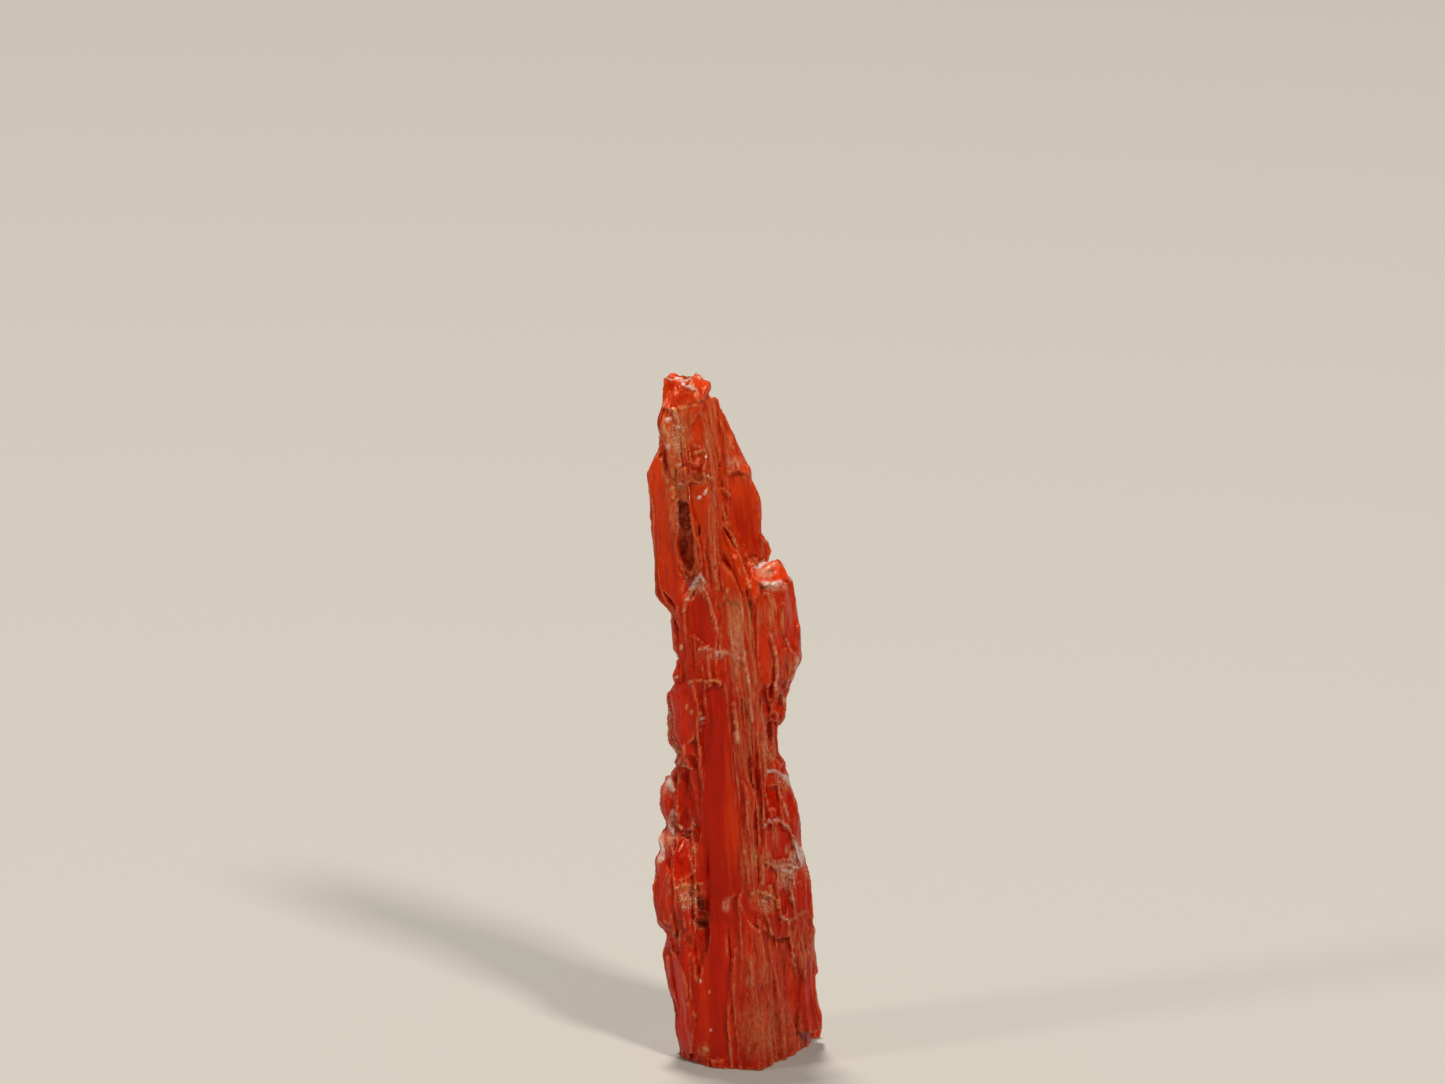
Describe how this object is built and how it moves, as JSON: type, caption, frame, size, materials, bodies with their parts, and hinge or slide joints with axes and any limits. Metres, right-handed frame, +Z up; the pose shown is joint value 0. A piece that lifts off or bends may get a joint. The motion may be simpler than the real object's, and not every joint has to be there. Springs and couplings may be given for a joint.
{
  "type": "crocoite crystal",
  "caption": "Slender upright prismatic crystal of parallel growth columns with a hollow, ragged upper end, side blades and a shoulder, broken off flat at its foot.",
  "frame": {"origin": "on the flat broken foot, under the middle of the stem", "axes": "+Z up along the crystal, which leans a little towards -X; -Y is the front that the picture shows; +X is the picture's right"},
  "size_m": [0.0053, 0.0042, 0.0213],
  "materials": {
    "crocoite": "vitreous, translucent orange-red with striated faces"
  },
  "bodies": {
    "root": {"crocoite_crystal": "crocoite"}
  },
  "joints": []
}
